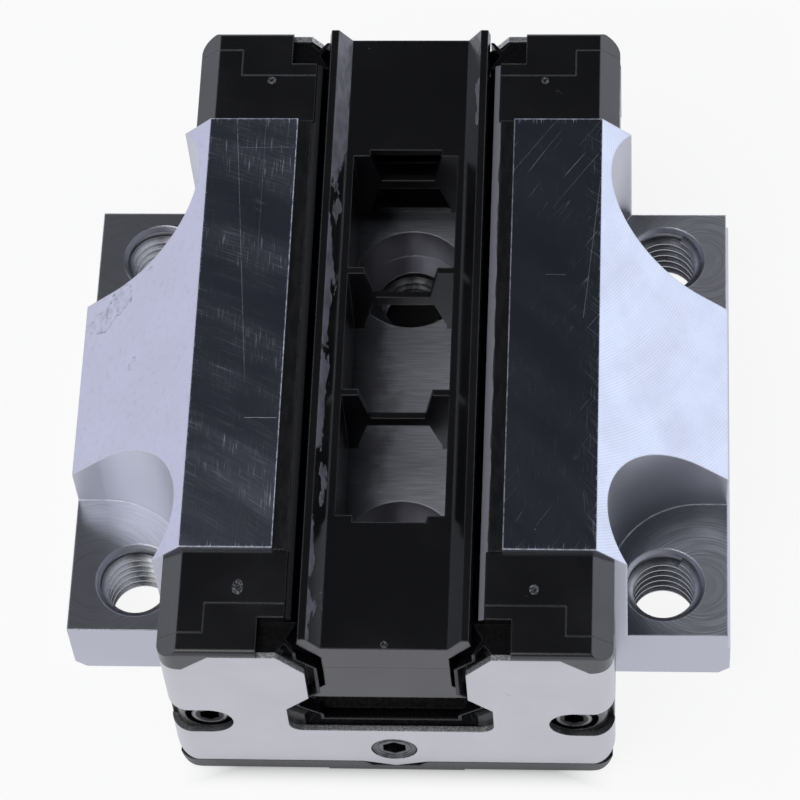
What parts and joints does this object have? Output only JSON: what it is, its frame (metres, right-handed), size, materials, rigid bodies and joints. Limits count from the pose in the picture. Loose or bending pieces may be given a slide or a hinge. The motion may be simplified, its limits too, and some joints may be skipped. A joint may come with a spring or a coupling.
{
  "type": "linear guide block",
  "caption": "Flanged steel linear guide block with recirculating ball tracks, black end caps, wiper seals, tapped flange holes and a plastic transport arbor in its channel.",
  "frame": {"origin": "centre of the mounting face, which is also the bottom centre of the object's box", "axes": "+X across the rail, +Y along the rail towards the rear end, +Z from the mounting face towards the rail"},
  "size_m": [0.09, 0.0978, 0.0353],
  "materials": {
    "body_steel": "milled and ground",
    "track_steel": "hardened and ground",
    "ball_steel": "polished",
    "guide_plastic": "moulded",
    "strip_plastic": "moulded, greasy",
    "cap_plastic": "moulded, semi-gloss",
    "seal_rubber": "moulded",
    "plate_steel": "satin sheet",
    "screw_steel": "plain",
    "arbor_plastic": "moulded, greasy"
  },
  "bodies": {
    "block": {"runner_body": "body_steel", "track_insert_right": "track_steel", "track_insert_left": "track_steel", "ball_guide_right": "guide_plastic", "ball_guide_left": "guide_plastic", "floor_guide_right": "guide_plastic", "floor_guide_left": "guide_plastic", "side_seal_right": "strip_plastic", "side_seal_left": "strip_plastic", "ball_circuit_right_upper": "ball_steel", "ball_circuit_right_lower": "ball_steel", "ball_circuit_left_upper": "ball_steel", "ball_circuit_left_lower": "ball_steel", "end_cap_front": "cap_plastic", "end_cap_rear": "cap_plastic", "turn_guides_front": "guide_plastic", "turn_guides_rear": "guide_plastic", "seal_carrier_front": "cap_plastic", "seal_carrier_rear": "cap_plastic", "end_seal_front": "seal_rubber", "end_seal_rear": "seal_rubber", "end_plate_front": "plate_steel", "end_plate_rear": "plate_steel", "plate_screws_front": "screw_steel", "plate_screws_rear": "screw_steel", "lube_plug_front": "screw_steel", "lube_plug_rear": "screw_steel"},
    "arbor": {"transport_arbor": "arbor_plastic"}
  },
  "joints": [
    {"name": "arbor_slide", "type": "slide", "parent": "block", "child": "arbor", "axis": [0, 1, 0], "range_m": [-0.08, 0.08]}
  ]
}
